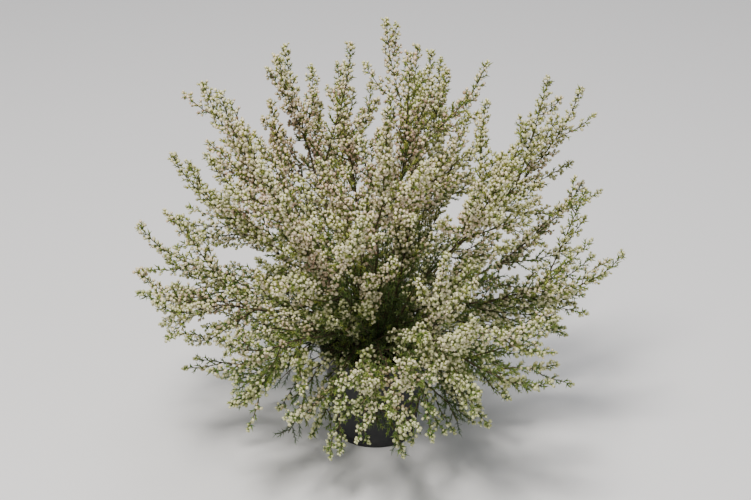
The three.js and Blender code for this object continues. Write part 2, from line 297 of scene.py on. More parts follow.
def oppositePairs(corner):
    # A raised corner has four neighbours: two on its own ring, close together, and one above and one below
    settings = {"neighbours": 4, "standOut": 2.2 * mm, "ringShare": 0.62}
    around = neighboursOf(corner)
    if len(around) != settings["neighbours"]:
        return None
    joined = set(neighboursOf(around[0]))
    across = [v for v in around[1:] if v not in joined]
    if len(across) != 1:
        return None
    rest = [v for v in around[1:] if v is not across[0]]
    pairs = sorted([(around[0], across[0]), tuple(rest)], key=lambda pair: (pair[0].co - pair[1].co).length)
    ringGap, longGap = [(a.co - b.co).length for a, b in pairs]
    standsOut = (corner.co - middleOf([v.co for v in pairs[0]])).length > settings["standOut"]
    return pairs if standsOut and ringGap < settings["ringShare"] * longGap else None


def readPlumes(nodeName):
    # Each plume as its middle line and, at each point of that line, how far its side shoots reach. The one
    # with most points comes first and starts at the spray's foot.
    settings = {"footGap": 8 * mm, "footReach": 9 * mm}
    bm = mergedCopy(nodeName)
    raised = {v: pairs for v in bm.verts if (pairs := oppositePairs(v))}
    ringOf, rings = {}, []
    for corner, (ringPair, _) in raised.items():
        met = {id(ringOf[v]): ringOf[v] for v in ringPair if v in ringOf}
        ring = {"lows": dict.fromkeys(ringPair), "tips": [corner]}
        for other in met.values():
            ring["lows"].update(other["lows"])
            ring["tips"] += other["tips"]
            rings.remove(other)
        rings.append(ring)
        for low in ring["lows"]:
            ringOf[low] = ring
    for ring in rings:
        ring["middle"] = middleOf([v.co for v in ring["lows"]])
        ring["next"], ring["plain"] = {}, []
        for corner in ring["tips"]:
            for v in raised[corner][1]:
                other = ringOf.get(v)
                if other is not None and other is not ring:
                    ring["next"][id(other)] = other
                elif other is None:
                    ring["plain"].append(v.co.copy())
        ring["lean"] = middleOf([v.co for v in ring["tips"]]) - ring["middle"]
    plumes, left = [], list(rings)
    while left:
        chain = [left.pop()]
        for end in (0, -1):
            while True:
                more = [r for r in chain[end]["next"].values() if r in left]
                if not more:
                    break
                left.remove(more[0])
                chain.insert(0 if end == 0 else len(chain), more[0])
        if len(chain) < 2:
            continue
        rise = sum((b["middle"] - a["middle"]).dot(a["lean"] + b["lean"]) for a, b in zip(chain, chain[1:]))
        if rise < 0:
            chain.reverse()
        plumes.append(finishPlume(chain))
    potMiddle = Vector((0, 0, soilTop))
    foot = min((v.co for v in bm.verts), key=lambda p: (p - potMiddle).length).copy()
    bm.free()
    plumes.sort(key=lambda plume: -len(plume["line"]))
    lead = plumes[0]
    if (lead["line"][0] - foot).length > settings["footGap"]:
        lead["line"].insert(0, foot)
        lead["reach"].insert(0, settings["footReach"])
    return plumes


def finishPlume(chain):
    # the line and reaches of one chain of rings, with a start below it and a tip above it
    settings = {"startShare": 0.75, "tipReach": 4 * mm}
    line, reach = [], []
    for i, ring in enumerate(chain):
        before, after = chain[max(i - 1, 0)]["middle"], chain[min(i + 1, len(chain) - 1)]["middle"]
        axis = (after - before).normalized()
        sizes = []
        for corner in ring["tips"]:
            away = corner.co - ring["middle"]
            sizes.append((away - axis * away.dot(axis)).length)
        line.append(ring["middle"].copy())
        reach.append(sum(sizes) / len(sizes))
    step = line[0] - line[1]
    below = [p for p in chain[0]["plain"] if (p - line[0]).dot(step) > 0]
    start = middleOf(below) if len(below) > 1 else line[0] + step
    step = line[-1] - line[-2]
    above = [p for p in chain[-1]["plain"] if (p - line[-1]).dot(step) > 0]
    tip = middleOf(above) if above else line[-1] + step
    reach = [reach[0] * settings["startShare"], *reach, settings["tipReach"]]
    return {"line": [start, *line, tip], "reach": reach}


def readStems(nodeName):
    # Each stem as its middle line from the trunk to its end: rings of corners are those that short edges join
    settings = {"shortEdge": 4.5 * mm, "mostEndCorners": 5}
    bm = mergedCopy(nodeName)
    group = {}
    for first in bm.verts:
        if first in group:
            continue
        found, waiting = [], [first]
        group[first] = found
        while waiting:
            v = waiting.pop()
            found.append(v)
            for edge in v.link_edges:
                other = edge.other_vert(v)
                if edge.calc_length() < settings["shortEdge"] and other not in group:
                    group[other] = found
                    waiting.append(other)
    rings = {id(g): g for g in group.values() if len(g) > 1}
    middles = {key: middleOf([v.co for v in g]) for key, g in rings.items()}
    links = {key: {} for key in rings}  # dictionaries keep their order, so the plant is the same each run
    for edge in bm.edges:
        a, b = (id(group[v]) for v in edge.verts)
        if a != b and a in rings and b in rings:
            links[a][b] = links[b][a] = True
    foot = min(rings, key=lambda key: middles[key].z)
    parent, order = {foot: None}, [foot]
    for key in order:
        for other in links[key]:
            if other not in parent:
                parent[other] = key
                order.append(other)
    stems = []
    for key in order:
        isEnd = key != foot and not any(parent[other] == key for other in links[key] if other in parent)
        if not isEnd or len(rings[key]) > settings["mostEndCorners"]:
            continue
        line = []
        while key is not None:
            line.insert(0, middles[key])
            key = parent[key]
        stems.append(line)
    bm.free()
    return stems


class Line:
    # A smooth line through points, walked by its length from 0 to 1, with a value carried along it
    def __init__(self, points, values=None, steps=10):
        self.points, self.values = [], []
        values = values or [0] * len(points)
        for i in range(len(points) - 1):
            p = [points[clamp(i + k, 0, len(points) - 1)] for k in (-1, 0, 1, 2)]
            for step in range(steps):
                t = step / steps
                a = p[1] * 2 + (p[2] - p[0]) * t
                b = (p[0] * 2 - p[1] * 5 + p[2] * 4 - p[3]) * t * t
                c = (p[1] * 3 - p[0] - p[2] * 3 + p[3]) * t ** 3
                self.points.append((a + b + c) / 2)
                self.values.append(lerp(values[i], values[i + 1], t))
        self.points.append(points[-1].copy())
        self.values.append(values[-1])
        self.lengths = [0.0]
        for a, b in zip(self.points, self.points[1:]):
            self.lengths.append(self.lengths[-1] + (b - a).length)
        self.length = self.lengths[-1]

    def at(self, share):
        # the point, direction and carried value at a share of the length
        want = clamp(share, 0, 1) * self.length
        i = 0
        while i < len(self.lengths) - 2 and self.lengths[i + 1] < want:
            i += 1
        gap = self.lengths[i + 1] - self.lengths[i]
        t = (want - self.lengths[i]) / gap if gap else 0
        point = self.points[i].lerp(self.points[i + 1], t)
        direction = (self.points[i + 1] - self.points[i]).normalized()
        return point, direction, lerp(self.values[i], self.values[i + 1], t)


# Small shapes that are placed many times
thinSides = 3  # of needles and twigs
evenTone = 0.5
almostOne = 0.999  # keeps a share of 1 inside the last of its steps
zAxis = Vector((0, 0, 1))


def taggedMesh(bm, name, along, tone, index=0):
    # every corner gets its share of the way along the piece and its tone
    alongLayer = bm.verts.layers.float.new("along")
    toneLayer = bm.verts.layers.float.new("tone")
    for v in bm.verts:
        v[alongLayer] = along(v)
        v[toneLayer] = tone
    for face in bm.faces:
        face.smooth = True
        face.material_index = index
    mesh = bpy.data.meshes.new(name)
    bm.to_mesh(mesh)
    bm.free()
    return mesh


def makeBell(tone, sides, openMouth):
    # an urn: a neck that widens from the stalk to the belly, and a mouth that sinks in where it is open
    size = {
        "length": 4.0 * mm, "bellyAt": 0.5, "belly": 1.92 * mm, "mouth": 1.36 * mm, "sink": 0.8 * mm,
        "throat": 0.1 * mm, "edgeAlong": 0.9,
    }
    length, depth = size["length"], size["length"] * (1 - size["bellyAt"])
    middle = length - depth / 2
    bm = bmesh.new()
    bmesh.ops.create_cone(
        bm, cap_ends=True, segments=sides, radius1=size["belly"], radius2=size["mouth"], depth=depth
    )
    bmesh.ops.translate(bm, verts=bm.verts, vec=(0, 0, middle))
    caps = [face for face in bm.faces if abs(face.normal.z) > 0.9 and (openMouth or face.normal.z < 0)]
    for v in bmesh.ops.poke(bm, faces=caps)["verts"]:
        v.co.z = 0 if v.co.z < middle else length - size["sink"]
    bmesh.ops.recalc_face_normals(bm, faces=bm.faces)

    # the sunk middle of an open mouth gets along 1, which the petal ramps paint dark: painted shade inside
    # the mouth
    def along(v):
        inside = v.co.xy.length < size["throat"] and v.co.z > size["throat"]
        return 1.0 if inside else size["edgeAlong"] * v.co.z / length

    return taggedMesh(bm, "bell", along, tone)


def makeNeedle(tone, length, width):
    bm = bmesh.new()
    bmesh.ops.create_cone(bm, cap_ends=True, segments=thinSides, radius1=width / 2, radius2=0, depth=length)
    bmesh.ops.remove_doubles(bm, verts=bm.verts, dist=0.01 * mm)
    bmesh.ops.translate(bm, verts=bm.verts, vec=(0, 0, length / 2))
    return taggedMesh(bm, "needle", lambda v: v.co.z / length, tone, leafIndex)


def makeTwig(length):
    size = {"thick": 0.42 * mm, "thinShare": 0.4}
    bm = bmesh.new()
    thin = size["thick"] * size["thinShare"]
    bmesh.ops.create_cone(
        bm, cap_ends=True, segments=thinSides, radius1=size["thick"], radius2=thin, depth=length
    )
    bmesh.ops.translate(bm, verts=bm.verts, vec=(0, 0, length / 2))
    return taggedMesh(bm, "twig", lambda v: v.co.z / length, evenTone, barkIndex)


def facing(direction, upward, point, scale=1.0):
    # a matrix that stands a shape on point, turned from +Z to direction, with its +X leaning to upward
    z = direction.normalized()
    x = upward - z * upward.dot(z)
    if x.length < 1e-6:
        x = z.orthogonal()
    x.normalize()
    y = z.cross(x)
    turn = Matrix((x, y, z)).transposed().to_4x4()
    return Matrix.Translation(point) @ turn @ Matrix.Scale(scale, 4)


def place(bm, shape, matrix):
    copy = shape.copy()
    copy.transform(matrix)
    bm.from_mesh(copy)
    bpy.data.meshes.remove(copy)


def bentMesh(bm, name, bend):
    # the whole shoot curves towards +X
    for v in bm.verts:
        v.co.x += bend * v.co.z * abs(v.co.z)
    mesh = bpy.data.meshes.new(name)
    bm.to_mesh(mesh)
    bm.free()
    return mesh


toneCount = 8
tones = [(i + 0.5) / toneCount for i in range(toneCount)]
bellKinds = {"fine": (5, True), "plain": (4, False)}  # sides, and whether the mouth is open
leafKinds = {"flower": (4.2 * mm, 1.5 * mm), "needle": (5.2 * mm, 0.95 * mm)}  # length and width
fineBells, plainBells = ([makeBell(tone, *kind) for tone in tones] for kind in bellKinds.values())
flowerLeaves, needles = ([makeNeedle(tone, *kind) for tone in tones] for kind in leafKinds.values())


def toned(shapes, tone):
    return shapes[int(clamp(tone, 0, almostOne) * len(shapes))]


def spread(upShare, around):
    # a direction round +Z: upShare 0 stands straight out and 1 points along the shoot
    flat = math.cos(upShare * math.pi / 2)
    return Vector((flat * math.cos(around), flat * math.sin(around), math.sin(upShare * math.pi / 2)))


def makeFloweringShoot(length, rng, bells, age):
    # side shoot with needles and bells, from age 0 in bud to 1 going over; returns bells and greenery
    settings = {
        "bellPitch": 1.45 * mm, "leafPitch": 1.1 * mm, "bareShare": 0.36, "stalk": 0.7 * mm, "bend": 9,
        "bellTurn": 0.4, "bellLowUp": -0.05, "bellHighUp": 0.45, "bellUpNoise": 0.15, "endUp": 0.8,
        "lowBell": 1.05, "highBell": 0.72, "bellSize": (0.85, 1.12), "bellTone": 0.18,
        "leafTurn": 0.5, "leafUp": (0.4, 0.7), "leafSize": (0.85, 1.2), "lowTone": 0.65, "highTone": 1.05,
        "ageTone": 0.28, "leafTone": 0.12,
    }
    bellMesh, leafMesh = bmesh.new(), bmesh.new()
    place(leafMesh, makeTwig(length), Matrix())
    start = length * settings["bareShare"]
    around = rng.random() * math.tau
    count = max(2, round((length - start) / settings["bellPitch"]))
    for i in range(count):
        share = (i + 0.6) / count
        around += goldenAngle + vary(rng, settings["bellTurn"])
        up = lerp(settings["bellLowUp"], settings["bellHighUp"], share) + vary(rng, settings["bellUpNoise"])
        if i == count - 1:
            up = settings["endUp"]
        size = lerp(settings["lowBell"], settings["highBell"], share ** 2)
        size *= rng.uniform(*settings["bellSize"])
        out = spread(up, around)
        point = zAxis * lerp(start, length, share) + out * settings["stalk"]
        bell = toned(bells, age + vary(rng, settings["bellTone"]))
        place(bellMesh, bell, facing(out, zAxis, point, size))
    count = max(3, round(length / settings["leafPitch"]))
    for i in range(count):
        share = (i + 0.5) / count
        around += goldenAngle + vary(rng, settings["leafTurn"])
        out = spread(rng.uniform(*settings["leafUp"]), around)
        tone = lerp(settings["lowTone"], settings["highTone"], share) - settings["ageTone"] * age
        leaf = toned(flowerLeaves, tone + vary(rng, settings["leafTone"]))
        matrix = facing(out, zAxis, zAxis * length * share, rng.uniform(*settings["leafSize"]))
        place(leafMesh, leaf, matrix)
    bend = settings["bend"]
    return bentMesh(bellMesh, "shootBells", bend), bentMesh(leafMesh, "shootLeaves", bend)


def makeLeafyShoot(length, rng, leaves, tone, pitch):
    # side shoot with leaves alone, paler towards its tip
    settings = {
        "turn": 0.4, "lowUp": 0.35, "highUp": 0.6, "upNoise": 0.1, "tipTone": 0.25, "toneNoise": 0.12,
        "size": (0.85, 1.2), "bend": 7,
    }
    leafMesh = bmesh.new()
    place(leafMesh, makeTwig(length), Matrix())
    around = rng.random() * math.tau
    count = round(length / pitch)
    for i in range(count):
        share = (i + 0.5) / count
        around += goldenAngle + vary(rng, settings["turn"])
        up = lerp(settings["lowUp"], settings["highUp"], share) + vary(rng, settings["upNoise"])
        out = spread(up, around)
        leaf = toned(leaves, tone + settings["tipTone"] * share + vary(rng, settings["toneNoise"]))
        matrix = facing(out, zAxis, zAxis * length * share, rng.uniform(*settings["size"]))
        place(leafMesh, leaf, matrix)
    return bentMesh(leafMesh, "leafyShoot", settings["bend"])


def makeTip(rng, bells):
    # the growing tip: young leaves that close round a knob of green buds
    settings = {
        "leaves": 9, "buds": 6, "length": 5 * mm, "stalk": 0.6 * mm, "leafUp": 0.2, "budUp": 0.0,
        "endUp": 0.9, "leafTone": (0.6, 1.0), "budTone": (0.0, 0.35), "leafSize": 0.85, "budSize": 0.75,
        "leafNoise": (0.9, 1.15), "budNoise": (0.85, 1.15),
    }
    bellMesh, leafMesh = bmesh.new(), bmesh.new()
    around = rng.random() * math.tau
    for i in range(settings["leaves"]):
        share = (i + 0.5) / settings["leaves"]
        around += goldenAngle
        out = spread(lerp(settings["leafUp"], settings["endUp"], share), around)
        leaf = toned(flowerLeaves, rng.uniform(*settings["leafTone"]))
        size = settings["leafSize"] * rng.uniform(*settings["leafNoise"])
        place(leafMesh, leaf, facing(out, zAxis, zAxis * settings["length"] * share, size))
    for i in range(settings["buds"]):
        share = (i + 0.5) / settings["buds"]
        out = spread(lerp(settings["budUp"], settings["endUp"], share), around + i * goldenAngle)
        point = zAxis * settings["length"] * share + out * settings["stalk"]
        bud = toned(bells, rng.uniform(*settings["budTone"]))
        size = settings["budSize"] * rng.uniform(*settings["budNoise"])
        place(bellMesh, bud, facing(out, zAxis, point, size))
    return bentMesh(bellMesh, "tipBells", 0), bentMesh(leafMesh, "tipLeaves", 0)


shootLengths = [4, 7, 10, 14, 18, 23, 29]  # in mm
shootAges = [0.12, 0.36, 0.6, 0.86]
variants = len(shootAges)
shapeRandom = random.Random(11)
greenKinds = {
    "young": {"leaves": flowerLeaves, "tone": 0.62, "pitch": 0.9 * mm},
    "green": {"leaves": needles, "tone": 0.35, "pitch": 1.05 * mm},
    "old": {"leaves": needles, "tone": 0.1, "pitch": 1.05 * mm},
}
fineShoots, plainShoots = (
    {n: [makeFloweringShoot(n * mm, shapeRandom, bells, age) for age in shootAges] for n in shootLengths}
    for bells in (fineBells, plainBells)
)
youngShoots, greenShoots, oldShoots = (
    {n: [makeLeafyShoot(n * mm, shapeRandom, **kind) for _ in range(variants)] for n in shootLengths}
    for kind in greenKinds.values()
)
tips = [makeTip(shapeRandom, plainBells) for _ in range(variants)]
print("shoots made:", {n: len(fineShoots[n][0][0].polygons) for n in shootLengths})


sideSteps = 5  # of a side branch's line and stem


def nearestLength(length):
    return min(shootLengths, key=lambda n: abs(n * mm - length))


def tubes(lines):
    # tapering stems along lines of (point, radius)
    curve = bpy.data.curves.new("stemLines", "CURVE")
    curve.dimensions = "3D"
    curve.bevel_depth = mm
    curve.bevel_resolution = 1
    curve.use_fill_caps = True
    for line in lines:
        spline = curve.splines.new("POLY")
        spline.points.add(len(line) - 1)
        for station, (point, radius) in zip(spline.points, line):
            station.co = (*point, 1)
            station.radius = radius / mm
    holder = bpy.data.objects.new("stemLines", curve)
    bpy.context.scene.collection.objects.link(holder)
    mesh = bpy.data.meshes.new_from_object(holder.evaluated_get(bpy.context.evaluated_depsgraph_get()))
    bpy.data.objects.remove(holder)
    bpy.data.curves.remove(curve)
    bm = bmesh.new()
    bm.from_mesh(mesh)
    bpy.data.meshes.remove(mesh)
    bmesh.ops.remove_doubles(bm, verts=bm.verts, dist=0.001 * mm)  # joins each tube to its caps
    return taggedMesh(bm, "stems", lambda v: evenTone, evenTone, barkIndex)


def addPiece(bm, name, materials, slot, *nodes):
    mesh = bpy.data.meshes.new(name)
    bm.to_mesh(mesh)
    bm.free()
    piece = bpy.data.objects.new(name, mesh)
    for material in materials:
        mesh.materials.append(material)
    bpy.context.scene.collection.objects.link(piece)
    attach(piece, "root")
    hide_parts(*nodes)


def radialAt(line, share, around):
    # the middle, axis and reach at a share of the line, and a direction square to the axis
    anyDirection = Vector((0.31, 0.17, 0.94))  # no stem runs along it
    middle, axis, reach = line.at(share)
    square = anyDirection.cross(axis).normalized()
    return middle, axis, reach, Matrix.Rotation(around, 3, axis) @ square


def dressPlume(line, meshes, rng, shoots, pitch, bloom, age, start=0.0):
    # side shoots all round the plume by the golden angle, leaning towards its tip and crowded there. The tip
    # is the youngest part, and the root flowers least.
    settings = {
        "lean": 0.62, "rootBack": 0.35, "crowding": 1.25, "last": 0.98, "turn": 0.25, "reach": (0.8, 1.12),
        "stretch": (0.8, 1.25), "unlike": 0.3, "evenAge": 0.45, "ageDrop": 0.6, "ageNoise": 0.12,
        "rootBloom": 0.35, "fullBloom": 1.1, "fullAt": 0.5, "tipFade": 6, "tipBloom": 0.6, "tip": 0.96,
    }
    bellMesh, leafMesh = meshes
    around = rng.random() * math.tau
    ahead = vary(rng, settings["unlike"])
    age, bloom = age + ahead, bloom * (1 + ahead)
    count = round(line.length * (1 - start) / pitch)
    for i in range(count):
        share = lerp(settings["last"], start, (1 - (i + 0.5) / count) ** settings["crowding"])
        around += goldenAngle + vary(rng, settings["turn"])
        middle, axis, reach, radial = radialAt(line, share, around)
        reach *= rng.uniform(*settings["reach"])
        root = line.at(share - settings["rootBack"] * reach / line.length)[0]
        away = middle + radial * reach + axis * reach * settings["lean"] - root
        length = nearestLength(away.length)
        matrix = facing(away, axis, root, clamp(away.length / (length * mm), *settings["stretch"]))
        shootAge = age + settings["ageDrop"] * (settings["evenAge"] - share) + vary(rng, settings["ageNoise"])
        variant = int(clamp(shootAge, 0, almostOne) * variants)
        upPlume = min(share / settings["fullAt"], 1)
        flowers = bloom * lerp(settings["rootBloom"], settings["fullBloom"], upPlume)
        flowers *= clamp((1 - share) * settings["tipFade"], settings["tipBloom"], 1)
        if rng.random() < flowers:
            bellShape, leafShape = shoots[length][variant]
            place(bellMesh, bellShape, matrix)
            place(leafMesh, leafShape, matrix)
        else:
            place(leafMesh, youngShoots[length][variant], matrix)
    middle, axis, _ = line.at(settings["tip"])
    bellShape, leafShape = tips[rng.randrange(variants)]
    matrix = facing(line.at(1)[0] - middle, axis.orthogonal(), middle)
    place(bellMesh, bellShape, matrix)
    place(leafMesh, leafShape, matrix)


def forkedLine(line, share, radial, length, fullness, droop):
    # a side branch that leaves the line towards radial and turns to run beside it; it carries how far its own
    # shoots reach
    settings = {
        "out": 0.42, "bend": 0.7, "forth": 0.38, "turning": 0.52, "reachShare": 0.13, "leastReach": 6 * mm,
        "mostReach": 15 * mm, "reaches": (0.7, 1, 0.9, 0.65), "tipReach": 4 * mm,
    }
    middle, axis, _ = line.at(share)
    points = []
    last = len(settings["reaches"])
    for k in range(last + 1):
        t = k / last
        out = settings["out"] * t ** settings["bend"]
        forth = settings["forth"] * t + settings["turning"] * t * t
        points.append(middle + (radial * out + axis * forth - zAxis * droop * t * t) * length)
    wide = clamp(settings["reachShare"] * length, settings["leastReach"], settings["mostReach"]) * fullness
    return Line(points, [wide * part for part in settings["reaches"]] + [settings["tipReach"]], sideSteps)


def taper(line, thick, thin, stations):
    return [(line.at(k / stations)[0], lerp(thick, thin, k / stations)) for k in range(stations + 1)]


def dressSpray(number):
    # the model's own plumes, and between them finer side plumes that it leaves out
    settings = {
        "finePitch": 4.1 * mm, "plainPitch": 4.8 * mm, "blooms": [0.5, 0.75, 0.9, 0.97], "lowBloom": 0.6,
        "lowTip": 220 * mm, "age": (0.25, 0.8), "forkReach": 0.6, "forkStart": 0.12,
        "leadStem": 1.25 * mm, "forkStem": 0.9 * mm, "stemTip": 0.35 * mm, "stations": 14,
        "sideEvery": 42 * mm, "sidePlace": (0.1, 0.7), "sideLast": 0.78, "sideShare": 0.6,
        "sideNoise": (0.8, 1.4), "shortest": 40 * mm, "longest": 85 * mm, "fullness": (0.8, 1.2),
        "droop": 0.12, "sideStem": 0.6 * mm, "sideTip": 0.3 * mm, "sideStart": 0.1,
    }
    node = f"flower_spray_{number:02d}"
    rng = random.Random(1000 + number)
    lead, *forks = readPlumes(node)
    meshes = bmesh.new(), bmesh.new()
    bloom = rng.choice(settings["blooms"])
    if lead["line"][-1].z < settings["lowTip"]:
        bloom *= settings["lowBloom"]
    age = rng.uniform(*settings["age"])
    lines = [Line(lead["line"], lead["reach"])]
    for plume in forks:
        points, reach = plume["line"], plume["reach"]
        back = points[0] - (points[1] - points[0])
        fork = min(lines[0].points, key=lambda p: (p - back).length)
        lines.append(Line([fork, *points], [reach[0] * settings["forkReach"], *reach]))
    stems = []
    for line in lines:
        isLead = line is lines[0]
        thick = settings["leadStem"] if isLead else settings["forkStem"]
        stems.append(taper(line, thick, settings["stemTip"], settings["stations"]))
        start = 0.0 if isLead else settings["forkStart"]
        dressPlume(line, meshes, rng, fineShoots, settings["finePitch"], bloom, age, start)
        around = rng.random() * math.tau
        for k in range(round(line.length / settings["sideEvery"])):
            share = (k + rng.uniform(*settings["sidePlace"])) * settings["sideEvery"] / line.length
            length = (1 - share) * line.length * settings["sideShare"] * rng.uniform(*settings["sideNoise"])
            if share > settings["sideLast"]:
                continue
            length = clamp(length, settings["shortest"], settings["longest"])
            around += goldenAngle
            radial = radialAt(line, share, around)[3]
            fullness = rng.uniform(*settings["fullness"])
            side = forkedLine(line, share, radial, length, fullness, settings["droop"])
            stems.append(taper(side, settings["sideStem"], settings["sideTip"], sideSteps))
            dressPlume(
                side, meshes, rng, plainShoots, settings["plainPitch"], bloom, age, settings["sideStart"]
            )
    place(meshes[1], tubes(stems), Matrix())
    faces = [len(mesh.faces) for mesh in meshes]
    addPiece(meshes[0], f"bells_{number:02d}", [petal], "flower", node)
    addPiece(meshes[1], f"shoots_{number:02d}", [needleLeaf, twigBark], "leafy_stem", node)
    return faces


def inPot(point, room):
    return point.z < soilTop + room and point.xy.length < rimRadius + room


def dressStems(number):
    # old wood with dark needles above the soil, short leafy twigs, leafy branches, and flowering plumes that
    # fill the bush's inside. The low stems carry leaves alone.
    settings = {
        "thick": 1.9 * mm, "thicker": 0.04 * mm, "thin": 1.1 * mm, "lowThin": 0.6 * mm, "stations": 16,
        "lowEnd": 100 * mm, "outerEnd": 60 * mm,
    }
    whorls = {
        "pitch": 3.6 * mm, "leaves": 4, "turn": 0.8, "above": 14 * mm, "lean": (0.5, 1.1),
        "size": (0.8, 1.15), "lowTone": 0.1, "highTone": 0.45, "tone": (-0.1, 0.15),
    }
    sides = {
        "count": 2, "from": 0.3, "to": 0.95, "length": (45, 85), "droop": 0.05, "thick": 0.8 * mm,
        "thin": 0.4 * mm,
    }
    twigs = {
        "pitch": 8 * mm, "lowPitch": 4.5 * mm, "above": 18 * mm, "lean": 0.9, "greenFrom": 0.5, "young": 0.4,
        "outer": 0.75, "outerLengths": [10, 14, 18], "lengths": [14, 18, 23],
    }
    plumes = {
        "count": 2, "from": 0.5, "to": 0.95, "length": (60, 100), "droop": 0.1, "aside": 0.6,
        "pitch": 5.0 * mm, "bloom": 0.62, "age": 0.45, "start": 0.15,
    }
    node = f"leafy_stems_{number}"
    rng = random.Random(900 + number)
    bellMesh, leafMesh = bmesh.new(), bmesh.new()
    stems = []
    for n, points in enumerate(readStems(node)):
        line = Line(points)
        isLow = points[-1].z < settings["lowEnd"]
        # stems that rise as one keep their own skins when doubles are merged
        thick = settings["thick"] + settings["thicker"] * n
        thin = settings["lowThin"] if isLow else settings["thin"]
        stems.append(taper(line, thick, thin, settings["stations"]))
        around = rng.random() * math.tau
        for i in range(round(line.length / whorls["pitch"])):
            share = (i + 0.5) * whorls["pitch"] / line.length
            if inPot(line.at(share)[0], whorls["above"]):
                continue
            around += whorls["turn"]
            for k in range(whorls["leaves"]):
                middle, axis, _, radial = radialAt(line, share, around + k * math.tau / whorls["leaves"])
                out = radial + axis * rng.uniform(*whorls["lean"])
                tone = lerp(whorls["lowTone"], whorls["highTone"], share) + rng.uniform(*whorls["tone"])
                matrix = facing(out, axis, middle, rng.uniform(*whorls["size"]))
                place(leafMesh, toned(needles, tone), matrix)
        branches = [line]
        for k in range(sides["count"]):
            share = lerp(sides["from"], sides["to"], (k + rng.random()) / sides["count"])
            around += goldenAngle
            radial = radialAt(line, share, around)[3]
            side = forkedLine(line, share, radial, rng.uniform(*sides["length"]) * mm, 1, sides["droop"])
            stems.append(taper(side, sides["thick"], sides["thin"], sideSteps))
            branches.append(side)
        pitch = twigs["lowPitch"] if isLow else twigs["pitch"]
        for branch in branches:
            for i in range(round(branch.length / pitch)):
                around += goldenAngle
                share = (i + rng.random()) * pitch / branch.length
                middle, axis, _, radial = radialAt(branch, share, around)
                if inPot(middle, twigs["above"]):
                    continue
                greens = greenShoots if share > twigs["greenFrom"] or isLow else oldShoots
                if isLow and rng.random() < twigs["young"]:
                    greens = youngShoots
                length = rng.choice(twigs["outerLengths"] if share > twigs["outer"] else twigs["lengths"])
                twig = greens[length][rng.randrange(variants)]
                place(leafMesh, twig, facing(radial + axis * twigs["lean"], axis, middle))
        if isLow:
            continue
        count = plumes["count"] + (points[-1].xy.length > settings["outerEnd"])
        for k in range(count):
            share = lerp(plumes["from"], plumes["to"], (k + rng.random()) / count)
            middle, axis, _ = line.at(share)
            aside = Vector([vary(rng, plumes["aside"]) for _ in "xyz"])
            outward = Vector((middle.x, middle.y, 0)).normalized() + aside
            radial = (outward - axis * outward.dot(axis)).normalized()
            side = forkedLine(line, share, radial, rng.uniform(*plumes["length"]) * mm, 1, plumes["droop"])
            stems.append(taper(side, sides["thick"], sides["thin"], sideSteps))
            dressPlume(
                side, (bellMesh, leafMesh), rng, plainShoots, plumes["pitch"], plumes["bloom"], plumes["age"],
                plumes["start"],
            )
    place(leafMesh, tubes(stems), Matrix())
    faces = len(leafMesh.faces), len(bellMesh.faces)
    addPiece(bellMesh, f"low_bells_{number}", [petal], "flower", node)
    addPiece(leafMesh, f"leafy_wood_{number}", [needleLeaf, twigBark], "leafy_stem", node)
    return len(stems), faces


# Pot and soil
def spun(profile, steps):
    # a closed shape of revolution round Z from (radius, height) points
    bm = bmesh.new()
    corners = [bm.verts.new((r, 0, z)) for r, z in profile]
    for a, b in zip(corners, corners[1:]):
        bm.edges.new((a, b))
    bmesh.ops.spin(
        bm, geom=bm.verts[:] + bm.edges[:], angle=math.tau, steps=steps, axis=zAxis, cent=(0, 0, 0),
        use_merge=True,
    )
    bmesh.ops.remove_doubles(bm, verts=bm.verts, dist=0.02 * mm)
    bmesh.ops.recalc_face_normals(bm, faces=bm.faces)
    for face in bm.faces:
        face.smooth = True
    return bm


def makePot():
    # thin walls, a foot ring round a recess with a pad in its middle, a low bead and a rim band
    pot = {
        "footRadius": 43 * mm, "wall": 1.6 * mm, "floor": 5.1 * mm, "recess": 2.5 * mm, "footRing": 5 * mm,
        "pad": 13 * mm, "rimHeight": 14 * mm, "overhang": 2.4 * mm, "lip": 0.9 * mm, "beadLow": 7 * mm,
        "beadHigh": 10.6 * mm, "beadOut": 0.5 * mm, "bevel": 0.6 * mm, "steps": 96,
    }
    top, foot = potHigh.z, pot["footRadius"]
    band, ring = top - pot["rimHeight"], foot - pot["footRing"]

    def outer(z, out=0.0):
        return lerp(foot, rimRadius - pot["overhang"], z / top) + out, z

    def rim(inward, z):
        return rimRadius - inward, z

    profile = [
        (0, 0), (pot["pad"], 0), (pot["pad"] + 1 * mm, pot["recess"]), (ring, pot["recess"]),
        (ring + 1 * mm, 0.3 * mm), (ring + 1.6 * mm, 0), (foot - 0.9 * mm, 0), (foot, 0.8 * mm),
        outer(pot["beadLow"]), outer(pot["beadLow"] + pot["bevel"], pot["beadOut"]),
        outer(pot["beadHigh"] - pot["bevel"], pot["beadOut"]), outer(pot["beadHigh"]),
        outer(band * 0.55), outer(band - 1.2 * mm),
        (outer(band, pot["beadOut"])[0], band - 0.3 * mm), rim(0.8 * mm, band),
        rim(0.2 * mm, band + 0.6 * mm), rim(0.3 * mm, band + 2 * mm),
        rim(0.5 * mm, top - 4.2 * mm), rim(0, top - 3.6 * mm), rim(0, top - pot["lip"]),
        rim(0.3 * mm, top - 0.25 * mm), rim(pot["lip"], top), rim(2.2 * mm, top),
        rim(2.9 * mm, top - 0.3 * mm), rim(3.2 * mm, top - 1.2 * mm),
        outer(band, -pot["wall"]), outer(pot["floor"], -pot["wall"]), (0, pot["floor"]),
    ]
    addPiece(spun(profile, pot["steps"]), "pot_shell", [potPlastic], "pot_plastic", "nursery_pot")


